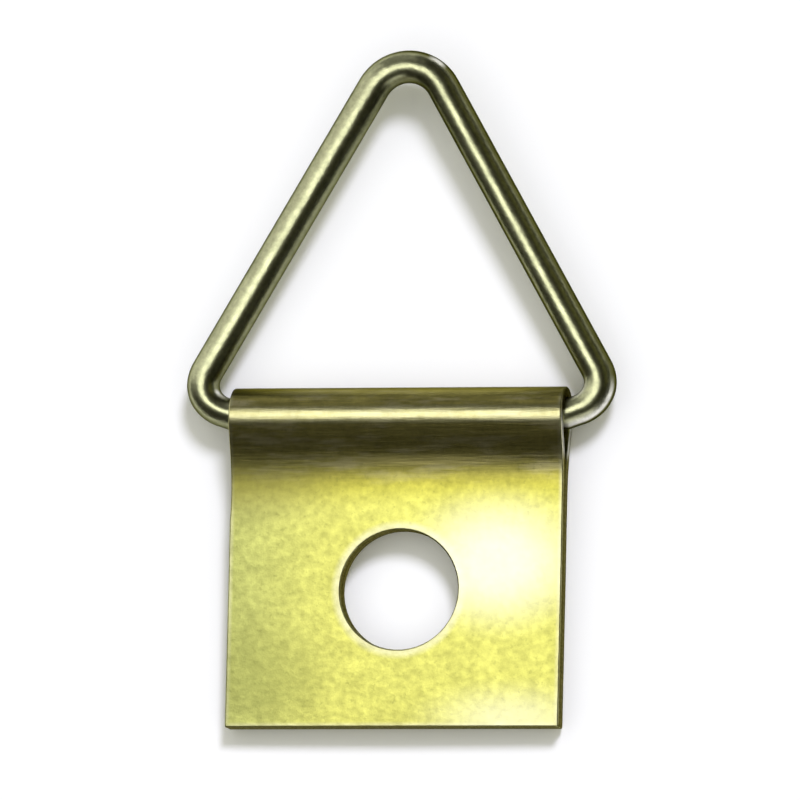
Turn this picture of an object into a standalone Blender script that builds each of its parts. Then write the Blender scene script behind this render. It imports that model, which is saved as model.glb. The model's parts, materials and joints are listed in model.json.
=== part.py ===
"""Triangle picture hanger: a strap of folded sheet and the wire ring that swings in its fold.

Real size, in metres. The hanger lies on its back: X runs across the strap, +Y points from the
fold to the tip of the ring, and +Z is the way the strap's front leaf faces. The origin is under
the middle of the whole hanger, level with the lowest line of the fold.
"""

import math

import bmesh
import bpy

MM = 0.001

# Strap: one strip of plated steel, folded double round the ring, with a screw hole in both leaves.
# The hole is a little to the right of the middle.
STRAP_WIDTH = 14.0 * MM
SHEET = 0.4 * MM
LEAF_LENGTH = 12.9 * MM
LEAF_GAP = 0.06 * MM
NECK_BEND = 8.0 * MM
FLANK_SLOPE = math.radians(16)
HOLE_DIAMETER = 5.0 * MM
HOLE_FROM_END = 5.65 * MM
HOLE_SHIFT = 0.2 * MM
EDGE_BREAK = 0.06 * MM

# Ring: one length of round wire, bent to a triangle, with its two ends hidden in the fold
WIRE_DIAMETER = 1.35 * MM
RING_RISE = 14.4 * MM
CORNER_BEND = 1.25 * MM
TIP_BEND = 1.7 * MM
END_GAP = 0.4 * MM

# Fits between the two: round the wire in the eye of the fold, and along it at the strap's sides
EYE_CLEARANCE = 0.05 * MM
SIDE_PLAY = 0.1 * MM

# Fineness of the facets
ARC_STEP = math.radians(7.5)
HOLE_SEGMENTS = 48
WIRE_BEVEL_RESOLUTION = 10
SHARP_ANGLE = math.radians(40)

# Lengths that follow: radii are to the middle of the sheet or of the wire
WIRE_RADIUS = WIRE_DIAMETER / 2
EYE_RADIUS = WIRE_RADIUS + EYE_CLEARANCE + SHEET / 2
LEAF_OFFSET = (LEAF_GAP + SHEET) / 2
FOLD_HEIGHT = EYE_RADIUS + SHEET / 2
AXIS_Y = (LEAF_LENGTH - RING_RISE - WIRE_RADIUS) / 2

# The base bar of the ring turns about this line, which runs along X
HINGE_AXIS = (0, AXIS_Y, FOLD_HEIGHT)


def clear_scene():
    for obj in list(bpy.data.objects):
        bpy.data.objects.remove(obj, do_unlink=True)


def plating(name, colour, roughness):
    """Bright brass plating as a Principled material."""
    material = bpy.data.materials.new(name)
    material.use_nodes = True
    shader = material.node_tree.nodes["Principled BSDF"]
    shader.inputs["Base Color"].default_value = (*colour, 1)
    shader.inputs["Metallic"].default_value = 1
    shader.inputs["Roughness"].default_value = roughness
    return material


def link(name, data, location):
    obj = bpy.data.objects.new(name, data)
    obj.location = location
    bpy.context.scene.collection.objects.link(obj)
    return obj


def arc(centre, radius, start, end):
    """Points on an arc in a plane, with both of its ends."""
    steps = math.ceil(abs(end - start) / ARC_STEP)
    angles = [start + (end - start) * step / steps for step in range(steps + 1)]
    return [
        (centre[0] + radius * math.cos(angle), centre[1] + radius * math.sin(angle))
        for angle in angles
    ]


def fold_line():
    """(y, z) along the middle of the strip, about the hinge axis, from free end to free end.

    Each leaf runs straight to its neck, bends there to a sloping flank, and the flank touches the eye.
    """
    flank_y = -EYE_RADIUS * math.sin(FLANK_SLOPE)
    flank_z = EYE_RADIUS * math.cos(FLANK_SLOPE)
    neck_z = LEAF_OFFSET + NECK_BEND
    foot_z = neck_z - NECK_BEND * math.cos(FLANK_SLOPE)
    foot_y = flank_y - (flank_z - foot_z) / math.tan(FLANK_SLOPE)
    neck_y = foot_y - NECK_BEND * math.sin(FLANK_SLOPE)
    neck = arc((neck_y, neck_z), NECK_BEND, -math.pi / 2, FLANK_SLOPE - math.pi / 2)
    front = [(-LEAF_LENGTH, LEAF_OFFSET), *neck]
    back = [(y, -z) for y, z in reversed(front)]
    eye_end = math.pi / 2 + FLANK_SLOPE
    return [*front, *arc((0, 0), EYE_RADIUS, eye_end, -eye_end), *back]


def ring_line():
    """(x, y) along the middle of the wire, about the hinge axis, from end to end.

    The legs are the straight lines that touch a bottom bend and the tip's bend from outside.
    """
    corner_x = STRAP_WIDTH / 2 + SIDE_PLAY
    tip_y = RING_RISE - TIP_BEND
    across, along = -corner_x, tip_y - CORNER_BEND
    spread = math.acos((CORNER_BEND - TIP_BEND) / math.hypot(across, along))
    leg_normal = math.atan2(along, across) - spread
    right = [(END_GAP / 2, 0)]
    right += arc((corner_x, CORNER_BEND), CORNER_BEND, -math.pi / 2, leg_normal)
    tip = arc((0, tip_y), TIP_BEND, leg_normal, math.pi - leg_normal)
    left = [(-x, y) for x, y in reversed(right)]
    return [*right, *tip, *left]


def make_hole_cutter(strap):
    """The drill through both leaves, longer than the fold is high."""
    mesh = bpy.data.meshes.new("screw_hole_cutter")
    bm = bmesh.new()
    bmesh.ops.create_cone(
        bm,
        cap_ends=True,
        segments=HOLE_SEGMENTS,
        radius1=HOLE_DIAMETER / 2,
        radius2=HOLE_DIAMETER / 2,
        depth=2 * FOLD_HEIGHT,
    )
    bm.to_mesh(mesh)
    bm.free()
    cutter = link("screw_hole_cutter", mesh, (HOLE_SHIFT, HOLE_FROM_END - LEAF_LENGTH, 0))
    cutter.parent = strap
    cutter.display_type = "WIRE"
    cutter.hide_render = True
    return cutter


def make_strap():
    """The strip's middle surface, thickened to the sheet, pierced, and with its edges broken."""
    mesh = bpy.data.meshes.new("strap")
    bm = bmesh.new()
    side = [bm.verts.new((-STRAP_WIDTH / 2, y, z)) for y, z in fold_line()]
    outline = [bm.edges.new(pair) for pair in zip(side, side[1:])]
    drawn = bmesh.ops.extrude_edge_only(bm, edges=outline)["geom"]
    far_side = [item for item in drawn if isinstance(item, bmesh.types.BMVert)]
    bmesh.ops.translate(bm, verts=far_side, vec=(STRAP_WIDTH, 0, 0))
    bmesh.ops.recalc_face_normals(bm, faces=bm.faces)
    bm.to_mesh(mesh)
    bm.free()
    mesh.shade_smooth()
    mesh.materials.append(plating("strap_plating", (0.66, 0.62, 0.17), 0.38))

    strap = link("strap", mesh, HINGE_AXIS)
    sheet = strap.modifiers.new("sheet", "SOLIDIFY")
    sheet.thickness = SHEET
    sheet.offset = 0
    sheet.use_even_offset = True
    hole = strap.modifiers.new("screw_hole", "BOOLEAN")
    hole.operation = "DIFFERENCE"
    hole.object = make_hole_cutter(strap)
    broken = strap.modifiers.new("edge_break", "BEVEL")
    broken.width = EDGE_BREAK
    broken.segments = 1
    broken.limit_method = "ANGLE"
    broken.angle_limit = SHARP_ANGLE
    broken.harden_normals = True
    return strap


def make_ring():
    """A round wire along the triangle, cut square at both ends. Its origin is on the hinge axis."""
    curve = bpy.data.curves.new("triangle_ring", "CURVE")
    curve.dimensions = "3D"
    curve.twist_mode = "Z_UP"
    curve.bevel_depth = WIRE_RADIUS
    curve.bevel_resolution = WIRE_BEVEL_RESOLUTION
    curve.use_fill_caps = True
    line = ring_line()
    wire = curve.splines.new("POLY")
    wire.points.add(len(line) - 1)
    for point, (x, y) in zip(wire.points, line):
        point.co = (x, y, 0, 1)
    wire.use_smooth = True
    curve.materials.append(plating("ring_plating", (0.62, 0.6, 0.22), 0.24))
    return link("triangle_ring", curve, HINGE_AXIS)


clear_scene()
make_strap()
make_ring()
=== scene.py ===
"""Triangle picture hanger: a strap of folded sheet and the wire ring that swings in its fold."""

import json
import math

import bmesh
import bpy
from mathutils import Matrix, Vector


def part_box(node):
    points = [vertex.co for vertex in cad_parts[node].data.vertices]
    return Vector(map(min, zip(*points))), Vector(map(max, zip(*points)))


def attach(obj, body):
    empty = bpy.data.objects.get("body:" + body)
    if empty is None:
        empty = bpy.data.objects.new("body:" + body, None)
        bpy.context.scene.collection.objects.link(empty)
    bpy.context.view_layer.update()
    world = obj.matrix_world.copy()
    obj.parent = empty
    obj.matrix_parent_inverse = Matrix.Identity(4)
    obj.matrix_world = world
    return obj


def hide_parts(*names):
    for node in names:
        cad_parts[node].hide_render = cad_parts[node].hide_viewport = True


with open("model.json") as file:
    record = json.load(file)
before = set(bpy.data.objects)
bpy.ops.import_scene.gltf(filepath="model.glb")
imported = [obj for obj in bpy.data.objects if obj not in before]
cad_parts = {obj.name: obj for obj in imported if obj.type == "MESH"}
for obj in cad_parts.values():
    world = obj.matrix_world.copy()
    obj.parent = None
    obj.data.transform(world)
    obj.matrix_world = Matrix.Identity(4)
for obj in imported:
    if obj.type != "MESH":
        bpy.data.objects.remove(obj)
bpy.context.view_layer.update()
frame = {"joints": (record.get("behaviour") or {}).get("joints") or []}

# Ring: one length of drawn steel wire, bent cold round three pegs to a triangle and then brass plated.
# Its two cut ends meet in the middle of the base bar, inside the strap's fold, where the bar turns
# as the pin of the hinge.
MM = 0.001
hinge = Vector(frame["joints"][0]["pos_m"])
ring_low, ring_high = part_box("triangle_ring")
wire_radius = (ring_high.z - ring_low.z) / 2
wire_sides = 48
corner_bend = 1.25 * MM
tip_bend = 1.7 * MM
end_gap = 0.4 * MM
end_rounding = 0.08 * MM
rounding_steps = 3
bend_step = math.radians(3.75)
along_x = Vector((1, 0, 0))
along_z = Vector((0, 0, 1))

corner_x = ring_high.x - wire_radius - corner_bend
right_corner = hinge + Vector((corner_x, corner_bend, 0))
left_corner = hinge + Vector((-corner_x, corner_bend, 0))
tip = Vector((hinge.x, ring_high.y - wire_radius - tip_bend, hinge.z))


def draw_out(bm, rim, reach):
    """Draws the open rim of a piece straight out, and returns its new rim."""
    drawn = bmesh.ops.extrude_edge_only(bm, edges=rim)["geom"]
    corners = [item for item in drawn if isinstance(item, bmesh.types.BMVert)]
    bmesh.ops.translate(bm, verts=corners, vec=reach)
    edges = [item for item in drawn if isinstance(item, bmesh.types.BMEdge)]
    return [edge for edge in edges if all(corner in corners for corner in edge.verts)]


def bend_round(bm, rim, centre, axis, angle):
    """Carries the open rim of a piece round a bend, and returns its new rim."""
    corners = list(dict.fromkeys(corner for edge in rim for corner in edge.verts))
    steps = math.ceil(abs(angle) / bend_step)
    bent = bmesh.ops.spin(
        bm, geom=corners + rim, cent=centre, axis=axis, angle=angle, steps=steps, use_duplicate=False
    )
    return [item for item in bent["geom_last"] if isinstance(item, bmesh.types.BMEdge)]


# The legs touch the bends at the corners and the tip, so one direction out of the wire serves all of them
corner_to_tip = tip - right_corner
spread = math.acos((corner_bend - tip_bend) / corner_to_tip.length)
leg_turn = math.atan2(corner_to_tip.y, corner_to_tip.x) - spread
outward = Vector((math.cos(leg_turn), math.sin(leg_turn), 0))
right_leg = corner_to_tip + (tip_bend - corner_bend) * outward
left_leg = Vector((right_leg.x, -right_leg.y, 0))
base_half = (corner_x - end_gap / 2) * along_x
corner_angle = math.pi / 2 + leg_turn
tip_angle = math.pi - 2 * leg_turn

bm = bmesh.new()
cut_end = Matrix.Translation(hinge + end_gap / 2 * along_x) @ Matrix.Rotation(math.pi / 2, 4, "Y")
bmesh.ops.create_circle(bm, cap_ends=True, segments=wire_sides, radius=wire_radius, matrix=cut_end)
rim = draw_out(bm, bm.edges[:], base_half)
rim = bend_round(bm, rim, right_corner, along_z, corner_angle)
rim = draw_out(bm, rim, right_leg)
rim = bend_round(bm, rim, tip, along_z, tip_angle)
rim = draw_out(bm, rim, left_leg)
rim = bend_round(bm, rim, left_corner, along_z, corner_angle)
rim = draw_out(bm, rim, base_half)
bmesh.ops.contextual_create(bm, geom=rim)
cut_edges = [edge for face in bm.faces if len(face.verts) > 4 for edge in face.edges]
bmesh.ops.bevel(
    bm,
    geom=cut_edges,
    offset=end_rounding,
    segments=rounding_steps,
    profile=0.5,
    affect="EDGES",
    material=-1,
)


def eased(value, start, end):
    """0 before start, 1 after end, and smooth between them."""
    share = min(max((value - start) / (end - start), 0), 1)
    return share * share * (3 - 2 * share)


# The two lower bends were pulled up a little tighter than their pegs
bend_lift = 0.15 * MM
lift_start = corner_x - 0.3 * MM
lift_full = corner_x + 0.5 * MM
lift_top = 1.5 * corner_bend
for corner in bm.verts:
    outside = eased(abs(corner.co.x), lift_start, lift_full)
    corner.co.y += bend_lift * outside * (1 - eased(corner.co.y - hinge.y, -wire_radius, lift_top))


def metal(name, edge_tint):
    """Makes a bare metal that loses light at a low angle, and returns it with its shader."""
    material = bpy.data.materials.new(name)
    material.use_nodes = True
    shader = material.node_tree.nodes["Principled BSDF"]
    shader.inputs["Metallic"].default_value = 1
    shader.inputs["Specular Tint"].default_value = (*edge_tint, 1)
    return material, shader


def add(material, kind, *feeds, **settings):
    """Adds a node and feeds its inputs in their order; returns its first live output."""
    tree = material.node_tree
    made = tree.nodes.new("ShaderNode" + kind)
    for setting, value in settings.items():
        setattr(made, setting, value)
    for socket, feed in zip(made.inputs, feeds):
        if isinstance(feed, bpy.types.NodeSocket):
            tree.links.new(feed, socket)
        elif feed is not None:
            socket.default_value = feed
    return next(output for output in made.outputs if output.enabled)


def place_on(material):
    """The place on the piece, in metres."""
    coordinates = material.node_tree.nodes.new("ShaderNodeTexCoord")
    return coordinates.outputs["Object"]


def mottle(material, place, size, detail=2.0, stretch=(1, 1, 1), low=0.35, high=0.65):
    """Cloudy spots about this size, from 0 to 1."""
    noise_scale = 1.0
    noise_roughness = 0.6
    spread_place = add(material, "Mapping", place, (0, 0, 0), (0, 0, 0), [part / size for part in stretch])
    spots = add(material, "TexNoise", spread_place, None, noise_scale, detail, noise_roughness)
    return add(material, "MapRange", spots, low, high, 0.0, 1.0)


def scaled(material, value, low, high):
    """Turns 0 to 1 into low to high."""
    return add(material, "MapRange", value, 0.0, 1.0, low, high)


def ramp(material, value, start, end):
    """0 at start, 1 at end, and smooth between them."""
    return add(material, "MapRange", value, start, end, 0.0, 1.0, interpolation_type="SMOOTHSTEP")


def spot(material, place, centre, outer, inner, weights=(1, 1, 0)):
    """1 within the inner distance of a centre, 0 beyond the outer one, as seen from the front."""
    off = add(material, "VectorMath", place, centre, operation="SUBTRACT")
    weighed = add(material, "VectorMath", off, weights, operation="MULTIPLY")
    distance = add(material, "VectorMath", weighed, operation="LENGTH")
    return ramp(material, distance, outer, inner)


def plus(material, one, other):
    """The sum of two values."""
    return add(material, "Math", one, other)


def both(material, one, other):
    """Where one value is high and the other is too."""
    return add(material, "Math", one, other, operation="MULTIPLY")


def either(material, one, other):
    """Where one value is high or the other is."""
    return add(material, "Math", one, other, operation="MAXIMUM")


def covered(material, share, under, over):
    """Lays a share of one colour over another."""
    return add(material, "MixRGB", share, under, over)


def tinted(material, colour, shade):
    """Darkens or lightens a colour by a shade."""
    return add(material, "MixRGB", 1.0, colour, shade, blend_type="MULTIPLY")


def finish_metal(material, shader, colour, roughness):
    """Gives the metal its colour and its roughness."""
    material.node_tree.links.new(colour, shader.inputs["Base Color"])
    material.node_tree.links.new(roughness, shader.inputs["Roughness"])


def dent(material, shader, height, depth, under=None):
    """Gives the surface dents of this depth; returns its normal."""
    bump = material.node_tree.nodes.new("ShaderNodeBump")
    bump.inputs["Distance"].default_value = depth
    material.node_tree.links.new(height, bump.inputs["Height"])
    if under:
        material.node_tree.links.new(under, bump.inputs["Normal"])
    material.node_tree.links.new(bump.outputs["Normal"], shader.inputs["Normal"])
    return bump.outputs["Normal"]


def finished_piece(name, bm, material, node, body):
    """Makes the piece that stands for a node, closed and facing outwards, and sets it on its body."""
    bmesh.ops.recalc_face_normals(bm, faces=bm.faces)
    mesh = bpy.data.meshes.new(name)
    bm.to_mesh(mesh)
    bm.free()
    mesh.shade_smooth()
    mesh.materials.append(material)
    piece = bpy.data.objects.new(name, mesh)
    bpy.context.scene.collection.objects.link(piece)
    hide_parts(node)
    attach(piece, body)
    return piece


# The plating is bright where the wire is rubbed, over its front and back, and tarnished at its sides, less
# so on the left leg. It has dull spots, and faint lines that the drawing die left along it.
rubbed_brass = (0.6, 0.61, 0.36, 1)
left_tarnish = (0.235, 0.24, 0.135, 1)
right_tarnish = (0.115, 0.115, 0.045, 1)
ring_brass, shader = metal("ring_brass", (0.25, 0.25, 0.2))
place = place_on(ring_brass)
apart = add(ring_brass, "SeparateXYZ", place).node
height = add(ring_brass, "Math", apart.outputs["Z"], hinge.z, operation="SUBTRACT")
off_middle = add(ring_brass, "Math", height, operation="ABSOLUTE")
rubbed = ramp(ring_brass, off_middle, 0.5 * wire_radius, 0.9 * wire_radius)
dull = mottle(ring_brass, place, 0.9 * MM, detail=3)
grain = mottle(ring_brass, place, 0.22 * MM, detail=3)
die_lines = mottle(ring_brass, place, 0.09 * MM, stretch=(0.06, 0.06, 1))
to_right = ramp(ring_brass, apart.outputs["X"], -1.5 * MM, 1.0 * MM)
tarnish = covered(ring_brass, to_right, left_tarnish, right_tarnish)

# The front of the wire is rubbed bare round the right bend, inside the left bend and at one side of the tip
bare_steel = (0.78, 0.77, 0.7, 1)
right_bend = hinge + Vector((corner_x + 1.3 * MM, -0.2 * MM, 0))
left_bend = hinge + Vector((-corner_x - 0.5 * MM, 0.75 * MM, 0))
tip_side = tip + Vector((1.24 * MM, 1.8 * MM, 0))
bare = spot(ring_brass, place, right_bend, 1.9 * MM, 0.9 * MM)
at_left = spot(ring_brass, place, left_bend, 0.45 * MM, 0.2 * MM, (0.8, 1.2, 0))
bare = either(ring_brass, bare, at_left)
bare = either(ring_brass, bare, spot(ring_brass, place, tip_side, 0.5 * MM, 0.15 * MM))
in_front = ramp(ring_brass, height, 0.22 * wire_radius, 0.46 * wire_radius)
bare = both(ring_brass, bare, in_front)
tarnish = covered(ring_brass, bare, tarnish, bare_steel)

colour = covered(ring_brass, rubbed, tarnish, rubbed_brass)
colour = tinted(ring_brass, colour, scaled(ring_brass, dull, 0.88, 1.08))
colour = tinted(ring_brass, colour, scaled(ring_brass, grain, 0.86, 1.1))
roughness = scaled(ring_brass, dull, 0.305, 0.287)
roughness = plus(ring_brass, roughness, scaled(ring_brass, die_lines, -0.008, 0.025))
finish_metal(ring_brass, shader, colour, roughness)
dents = dent(ring_brass, shader, dull, 0.008 * MM)
dent(ring_brass, shader, die_lines, 0.0008 * MM, dents)
finished_piece("ring_wire", bm, ring_brass, "triangle_ring", "ring")

# Strap: one strip of rolled steel, pierced twice, folded double round the base bar of the ring, pressed
# together and brass plated. The piece is the strip's middle surface, followed from the free end of the
# front leaf round the eye to the free end of the back leaf, and then given the sheet's thickness.
strap_low, strap_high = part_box("strap")
sheet = 0.4 * MM
leaf_gap = 0.06 * MM
eye_slack = 0.02 * MM
neck_bend = 8.0 * MM
flank_slope = math.radians(18)
hole_radius = 2.47 * MM
hole_shift = 0.2 * MM
hole_from_end = 5.65 * MM
edge_rounding = 0.07 * MM
edge_angle = math.radians(40)
columns = 32
leaf_rows = 24
flank_rows = 4
hole_block = 3.5 * MM
hole_rings = 4

half_width = (strap_high.x - strap_low.x) / 2
eye_radius = (strap_high.z - strap_low.z - sheet) / 2 + eye_slack
leaf_offset = (sheet + leaf_gap) / 2
neck_rise = leaf_offset + neck_bend
flank_drop = eye_radius * math.cos(flank_slope) - neck_rise + neck_bend * math.cos(flank_slope)
flank_run = flank_drop / math.tan(flank_slope)
neck_reach = (eye_radius + neck_bend) * math.sin(flank_slope) + flank_run
neck_y = hinge.y - neck_reach
front_neck = Vector((0, neck_y, hinge.z + neck_rise))
back_neck = Vector((0, neck_y, hinge.z - neck_rise))
leaf = Vector((0, neck_y - strap_low.y, 0))
hole = Vector((hole_shift, strap_low.y + hole_from_end, 0))


def split_rows(bm, first, last, rows):
    """Splits the sheet between two rows of edges into even rows of small faces."""
    ends = {corner for edge in first + last for corner in edge.verts}
    across = set(first + last)
    lengthways = [
        edge for edge in bm.edges if edge not in across and all(corner in ends for corner in edge.verts)
    ]
    bmesh.ops.subdivide_edges(bm, edges=lengthways, cuts=rows - 1, use_grid_fill=True)


def pierce(bm, height):
    """Opens a square of faces in the leaf at this height and draws its rim in to the round hole."""
    def in_block(face):
        off = face.calc_center_median() - hole
        level = abs(off.z - height) < leaf_offset / 2
        return level and abs(off.x) < hole_block and abs(off.y) < hole_block

    block = [face for face in bm.faces if in_block(face)]
    sides = [edge for face in block for edge in face.edges]
    square = [edge for edge in dict.fromkeys(sides) if sides.count(edge) == 1]
    bmesh.ops.delete(bm, geom=block, context="FACES")
    before = set(bm.edges)
    rim = draw_out(bm, square, Vector())
    for corner in {corner for edge in rim for corner in edge.verts}:
        spoke = corner.co - hole
        spoke.z = 0
        corner.co.xy = (hole + hole_radius * spoke.normalized()).xy
    spokes = [edge for edge in bm.edges if edge not in before and edge not in rim]
    bmesh.ops.subdivide_edges(bm, edges=spokes, cuts=hole_rings)


bm = bmesh.new()
free_end = Vector((0, strap_low.y, hinge.z + leaf_offset))
side_reach = half_width * along_x
bm.edges.new([bm.verts.new(free_end - side_reach), bm.verts.new(free_end + side_reach)])
bmesh.ops.subdivide_edges(bm, edges=bm.edges[:], cuts=columns - 1)
front_end = bm.edges[:]
front_top = draw_out(bm, front_end, leaf)
front_foot = bend_round(bm, front_top, front_neck, along_x, flank_slope)
front_eye = draw_out(bm, front_foot, Vector((0, flank_run, flank_drop)))
back_eye = bend_round(bm, front_eye, hinge, along_x, -(math.pi + 2 * flank_slope))
back_foot = draw_out(bm, back_eye, Vector((0, -flank_run, flank_drop)))
back_top = bend_round(bm, back_foot, back_neck, along_x, flank_slope)
back_end = draw_out(bm, back_top, -leaf)
split_rows(bm, front_end, front_top, leaf_rows)
split_rows(bm, front_foot, front_eye, flank_rows)
split_rows(bm, back_eye, back_foot, flank_rows)
split_rows(bm, back_top, back_end, leaf_rows)
pierce(bm, hinge.z + leaf_offset)
pierce(bm, hinge.z - leaf_offset)


def swell(value, start, full, wane, end):
    """Rises from 0 at start to 1 at full, and falls from 1 at wane to 0 at end."""
    return eased(value, start, full) * (1 - eased(value, wane, end))


# The press leaves the sheet not quite true. The leaves bow a little, the neck runs lower on the left and
# is creased, and the crown of the fold is pressed down and leans to the front leaf.
bow = 0.06 * MM
neck_span = (0.2 * neck_reach, 0.8 * neck_reach, 0.9 * neck_reach, 1.3 * neck_reach)
neck_lean = 0.2 * MM
neck_lift = 0.08 * MM
waist = 0.04 * MM
crease_span = (0.9 * MM, 1.45 * MM, 1.5 * MM, 2.5 * MM)
crease = 0.014 * MM
fold_drop = 0.02 * MM
fold_lean = 0.11 * MM
crown_press = 0.008 * MM
crown_reach = 0.6 * MM
for corner in bm.verts:
    across = corner.co.x / half_width
    down = hinge.y - corner.co.y
    corner.co.z -= bow * across**2 * eased(down, neck_reach, 2 * neck_reach)
    at_neck = swell(down, *neck_span)
    corner.co.y += at_neck * (neck_lean * across + neck_lift)
    corner.co.x -= waist * at_neck * min(across, 0) ** 3
    at_crease = swell(down, *crease_span)
    corner.co.z -= math.copysign(crease * at_crease, corner.co.z - hinge.z)
    in_eye = 1 - eased(down, 0.3 * neck_reach, 0.8 * neck_reach)
    corner.co.y -= in_eye * (fold_drop + fold_lean * max(corner.co.z - hinge.z, 0) / eye_radius)
    from_crown = (down - fold_lean) / crown_reach
    if abs(from_crown) < 1 and corner.co.z > hinge.z:
        corner.co.z -= crown_press * (1 - from_crown**2) ** 2


# The plating is satin and mottled. It is greener and duller at the left, warmer at the neck, and smooth
# over the fold, where the press has burnished it, left faint lines along it and scuffed it.
right_brass = (0.625, 0.61, 0.145, 1)
left_brass = (0.5, 0.52, 0.16, 1)
neck_brass = (0.525, 0.485, 0.06, 1)
fold_brass = (0.6, 0.535, 0.165, 1)
scuffed_brass = (0.8, 0.73, 0.42, 1)
speck_brown = (0.2, 0.2, 0.05, 1)
strap_brass, shader = metal("strap_brass", (0.3, 0.3, 0.25))
place = place_on(strap_brass)
apart = add(strap_brass, "SeparateXYZ", place).node
to_left = ramp(strap_brass, apart.outputs["X"], -0.2 * half_width, -1.1 * half_width)
in_neck = ramp(strap_brass, apart.outputs["Y"], hinge.y - 4.2 * MM, hinge.y - 2.4 * MM)
in_fold = ramp(strap_brass, apart.outputs["Y"], hinge.y - 3.2 * MM, hinge.y - 1.6 * MM)
clouds = mottle(strap_brass, place, 1.6 * MM)
grain = mottle(strap_brass, place, 0.32 * MM, detail=4, low=0.3, high=0.7)
specks = mottle(strap_brass, place, 0.22 * MM, low=0.6, high=0.7)
press_lines = mottle(strap_brass, place, 0.16 * MM, stretch=(0.08, 1, 1))
press_lines = both(strap_brass, press_lines, in_fold)
scuffs = mottle(strap_brass, place, 0.5 * MM, detail=3, stretch=(0.22, 1, 1), low=0.5, high=0.66)
scuffs = both(strap_brass, scuffs, in_fold)

colour = covered(strap_brass, to_left, right_brass, left_brass)
colour = covered(strap_brass, in_neck, colour, neck_brass)
colour = covered(strap_brass, in_fold, colour, fold_brass)
colour = tinted(strap_brass, colour, scaled(strap_brass, clouds, 0.92, 1.08))
colour = tinted(strap_brass, colour, scaled(strap_brass, grain, 0.86, 1.12))
colour = tinted(strap_brass, colour, scaled(strap_brass, press_lines, 1.0, 0.64))
colour = covered(strap_brass, scaled(strap_brass, scuffs, 0.0, 0.6), colour, scuffed_brass)
colour = covered(strap_brass, scaled(strap_brass, specks, 0.0, 0.22), colour, speck_brown)

# It is rubbed paler along the free edges, round the hole, along the crown of the fold and, right of the
# middle, along the line where the neck was pressed
edge_brass = (0.72, 0.7, 0.42, 1)
line_brass = (0.88, 0.78, 0.28, 1)
neck_line = Vector((1.5 * MM, hinge.y - 1.92 * MM, 0))
off_centre = add(strap_brass, "Math", apart.outputs["X"], operation="ABSOLUTE")
at_side = ramp(strap_brass, off_centre, half_width - 0.25 * MM, half_width - 0.06 * MM)
at_end = ramp(strap_brass, apart.outputs["Y"], strap_low.y + 0.25 * MM, strap_low.y + 0.06 * MM)
at_crown = ramp(strap_brass, apart.outputs["Z"], strap_high.z - 0.07 * MM, strap_high.z - 0.01 * MM)
at_hole = spot(strap_brass, place, hole, hole_radius + 0.45 * MM, hole_radius + 0.12 * MM)
at_hole = both(strap_brass, at_hole, scaled(strap_brass, grain, 0.6, 0.95))
rubbed = either(strap_brass, at_side, at_end)
rubbed = either(strap_brass, rubbed, at_crown)
rubbed = both(strap_brass, rubbed, scaled(strap_brass, grain, 0.4, 0.7))
rubbed = either(strap_brass, rubbed, at_hole)
colour = covered(strap_brass, rubbed, colour, edge_brass)
on_line = spot(strap_brass, place, neck_line, 0.34 * MM, 0.1 * MM, (0.07, 1, 0))
colour = covered(strap_brass, scaled(strap_brass, on_line, 0.0, 0.8), colour, line_brass)

# It is tarnished at the neck's left end, at the leaf's lower left and on the far side of the fold
neck_tarnish = (0.27, 0.25, 0.08, 1)
leaf_tarnish = (0.33, 0.34, 0.09, 1)
far_tarnish = (0.22, 0.2, 0.07, 1)
neck_end = Vector((-6.3 * MM, hinge.y - 2.9 * MM, 0))
lower_left = Vector((-6.2 * MM, hinge.y - 10.8 * MM, 0))
browned = spot(strap_brass, place, neck_end, 2.4 * MM, 0.4 * MM, (0.45, 1, 0))
colour = covered(strap_brass, scaled(strap_brass, browned, 0.0, 0.55), colour, neck_tarnish)
dulled = spot(strap_brass, place, lower_left, 3.0 * MM, 0.4 * MM, (0.6, 1, 0))
colour = covered(strap_brass, scaled(strap_brass, dulled, 0.0, 0.4), colour, leaf_tarnish)
at_far_side = ramp(strap_brass, apart.outputs["Y"], hinge.y + 0.55 * MM, hinge.y + 0.85 * MM)
colour = covered(strap_brass, scaled(strap_brass, at_far_side, 0.0, 0.7), colour, far_tarnish)

# It is worn smooth and pale beside the hole and at one corner
worn_brass = (0.74, 0.73, 0.54, 1)
beside_hole = Vector((4.3 * MM, hinge.y - 6.1 * MM, 0))
worn_corner = Vector((5.0 * MM, hinge.y - 12.6 * MM, 0))
by_hole = spot(strap_brass, place, beside_hole, 4.0 * MM, 0.6 * MM, (0.85, 1.15, 0))
by_corner = spot(strap_brass, place, worn_corner, 1.9 * MM, 0.1 * MM, (0.4, 1, 0))
worn = either(strap_brass, by_hole, scaled(strap_brass, by_corner, 0.0, 0.6))
colour = covered(strap_brass, scaled(strap_brass, worn, 0.0, 0.85), colour, worn_brass)

roughness = scaled(strap_brass, to_left, 0.34, 0.37)
roughness = plus(strap_brass, roughness, scaled(strap_brass, grain, 0.02, -0.012))
roughness = plus(strap_brass, roughness, scaled(strap_brass, worn, 0.0, -0.046))
fold_roughness = scaled(strap_brass, press_lines, 0.285, 0.335)
fold_roughness = add(strap_brass, "Mix", at_crown, None, fold_roughness, 0.3)
roughness = add(strap_brass, "Mix", in_fold, None, roughness, fold_roughness)
finish_metal(strap_brass, shader, colour, roughness)

# The leaves have shallow waves and a fine grain, less where they are worn, and the fold has its press lines
waves = mottle(strap_brass, place, 1.2 * MM, detail=1, low=0.0, high=1.0)
on_leaf = scaled(strap_brass, in_neck, 1.0, 0.0)
unworn = both(strap_brass, on_leaf, scaled(strap_brass, worn, 1.0, 0.25))
dents = dent(strap_brass, shader, both(strap_brass, waves, unworn), 0.02 * MM)
dents = dent(strap_brass, shader, both(strap_brass, grain, unworn), 0.005 * MM, dents)
dent(strap_brass, shader, press_lines, 0.002 * MM, dents)

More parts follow.
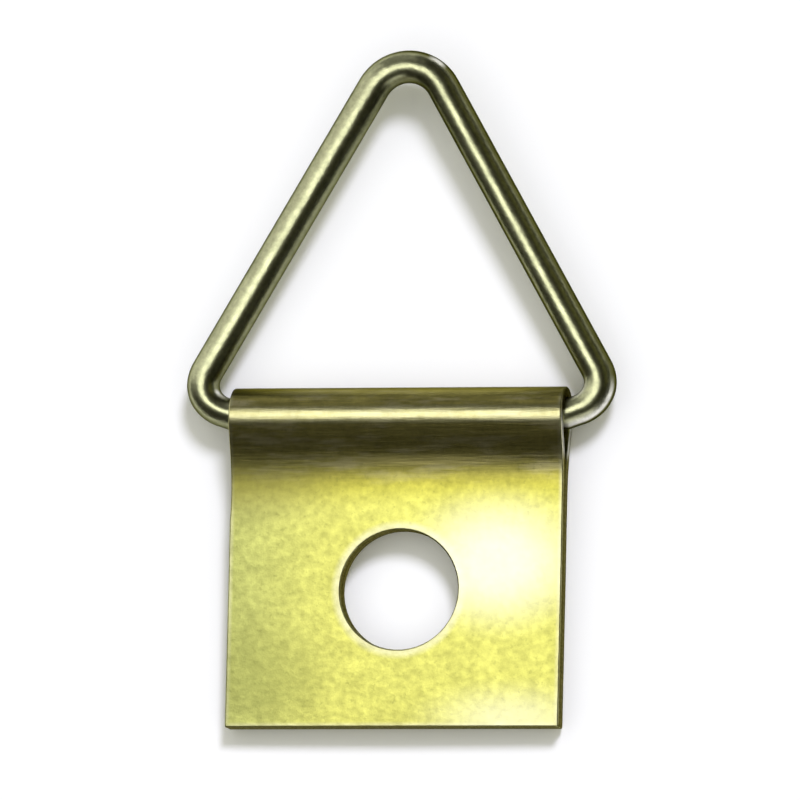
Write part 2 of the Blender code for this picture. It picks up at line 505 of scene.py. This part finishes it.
# The cut edges are bare: dull and dark, with streaks that the shears left through the sheet, and rubbed
# bright at the right side of the fold
dark_cut = (0.19, 0.175, 0.062, 1)
pale_cut = (0.27, 0.25, 0.09, 1)
bright_cut = (0.7, 0.69, 0.6, 1)
fold_side = Vector((half_width, hinge.y - 0.9 * MM, 0))
cut_metal, shader = metal("strap_cut", (0.16, 0.15, 0.1))
place = place_on(cut_metal)
streaks = mottle(cut_metal, place, 0.11 * MM, detail=3, stretch=(1, 1, 0.15))
colour = covered(cut_metal, streaks, dark_cut, pale_cut)
bare = spot(cut_metal, place, fold_side, 1.1 * MM, 0.6 * MM)
colour = covered(cut_metal, bare, colour, bright_cut)
finish_metal(cut_metal, shader, colour, scaled(cut_metal, streaks, 0.52, 0.4))
dent(cut_metal, shader, streaks, 0.006 * MM)

strap = finished_piece("strap_sheet", bm, strap_brass, "strap", "strap")
strap.data.materials.append(cut_metal)
wall = strap.modifiers.new("sheet", "SOLIDIFY")
wall.thickness = sheet
wall.offset = 0
wall.use_even_offset = True
wall.material_offset_rim = 1
rounding = strap.modifiers.new("rounded_edges", "BEVEL")
rounding.width = edge_rounding
rounding.segments = rounding_steps
rounding.limit_method = "ANGLE"
rounding.angle_limit = edge_angle
rounding.harden_normals = True

# Floor: a plain white card. The hanger rests on the back of its fold and leans to the strap's free end.
# The card shows only from above, so that the back of the hanger can be seen from below.
floor_reach = 1.5
floor_lean = math.radians(2)
fold_back = hinge.z - eye_radius - sheet / 2
lie = Matrix.Translation((0, hinge.y, fold_back)) @ Matrix.Rotation(-floor_lean, 4, "X")
bm = bmesh.new()
bmesh.ops.create_grid(bm, x_segments=1, y_segments=1, size=floor_reach, matrix=lie)
mesh = bpy.data.meshes.new("floor")
bm.to_mesh(mesh)
bm.free()
floor_white = bpy.data.materials.new("floor_white")
floor_white.use_nodes = True
shader = floor_white.node_tree.nodes["Principled BSDF"]
shader.inputs["Base Color"].default_value = (0.97, 0.97, 0.97, 1)
shader.inputs["Roughness"].default_value = 1
shader.inputs["Specular IOR Level"].default_value = 0
from_below = floor_white.node_tree.nodes.new("ShaderNodeNewGeometry").outputs["Backfacing"]
clear = floor_white.node_tree.nodes.new("ShaderNodeBsdfTransparent").outputs[0]
one_sided = add(floor_white, "MixShader", from_below, shader.outputs[0], clear)
output = floor_white.node_tree.nodes["Material Output"]
floor_white.node_tree.links.new(one_sided, output.inputs["Surface"])
mesh.materials.append(floor_white)
floor = bpy.data.objects.new("floor", mesh)
bpy.context.scene.collection.objects.link(floor)


# Lights: a soft box over the strap, which the brass mirrors, and dim cards at the left, beyond the ring,
# low in front of the strap and at the right. Two far lamps light the floor alone: one at the upper right,
# which draws the shadows, and a broad one overhead.
def add_light(name, kind, place):
    """Adds a lamp of this kind at a place about the hinge, facing it."""
    lamp = bpy.data.objects.new(name, bpy.data.lights.new(name, kind))
    lamp.location = hinge + place
    lamp.rotation_mode = "QUATERNION"
    lamp.rotation_quaternion = (-place).to_track_quat("-Z", "Y")
    lamp.visible_camera = False
    bpy.context.scene.collection.objects.link(lamp)
    return lamp


def add_card(name, place, width, height, glow, colour=(1, 1, 1)):
    """Adds a glowing card of this size, as bright as glow, for the metal to mirror."""
    card = add_light(name, "AREA", place)
    card.data.shape = "RECTANGLE"
    card.data.size = width
    card.data.size_y = height
    card.data.energy = 4 * width * height * glow
    card.data.color = colour
    card.visible_diffuse = False


def add_sky(name, place, strength, angle, colour):
    """Adds far light from this way that lights the floor and that the metal doesn't mirror."""
    sky = add_light(name, "SUN", place)
    sky.data.energy = strength
    sky.data.angle = angle
    sky.data.color = colour
    sky.visible_glossy = False


add_card("soft_box", Vector((-0.018, 0.01, 0.1105)), 0.046, 0.074, 1.95)
add_card("upper_card", Vector((-0.063, 0.036, 0.085)), 0.044, 0.044, 1.05)
add_card("side_card", Vector((-0.101, 0.06, 0.042)), 0.1, 0.078, 0.6)
add_card("far_card", Vector((-0.035, 0.132, 0.05)), 0.06, 0.125, 0.2)
add_card("low_card", Vector((0.029, -0.116, 0.0365)), 0.11, 0.067, 0.6)
add_card("right_card", Vector((0.095, 0.055, 0.06)), 0.09, 0.06, 0.07, (1, 1, 0.35))
add_sky("key", Vector((0.4, 0.74, 1.0)), 1.97, math.radians(16), (0.93, 0.93, 1.08))
add_sky("ambient", Vector((0, 0, 1)), 1.9, math.radians(120), (1, 1, 0.91))

dim_olive = (0.009, 0.0087, 0.002, 1)
world = bpy.data.worlds.new("dim_room")
bpy.context.scene.world = world
world.use_nodes = True
world.node_tree.nodes["Background"].inputs["Color"].default_value = dim_olive

# Camera: over the strap, to its right and a little below it, with a long lens. It is rolled a little, and
# the lens makes the picture 800 pixels wide at the photograph's scale.
view_right = math.radians(13.5)
view_below = math.radians(7.3)
view_roll = math.radians(1.4)
view_distance = 0.7
picture_pixels = 800
pixels_per_mm = 24.43
aim = hinge + Vector((-0.04, 0.61, 0)) * MM
towards = Vector((
    math.sin(view_right) * math.cos(view_below),
    -math.sin(view_below),
    math.cos(view_right) * math.cos(view_below),
))
sideways = Vector((0, 1, 0)).cross(towards).normalized()
level = Matrix((sideways, towards.cross(sideways), towards)).transposed().to_4x4()
camera = bpy.data.objects.new("camera", bpy.data.cameras.new("camera"))
camera.matrix_world = (
    Matrix.Translation(aim + view_distance * towards) @ level @ Matrix.Rotation(view_roll, 4, "Z")
)
camera.data.sensor_width = 36
camera.data.lens = camera.data.sensor_width * pixels_per_mm * view_distance / MM / picture_pixels
camera.data.clip_start = 0.01
camera.data.clip_end = 10
bpy.context.scene.collection.objects.link(camera)
bpy.context.scene.camera = camera
bpy.context.scene.view_settings.view_transform = "Standard"
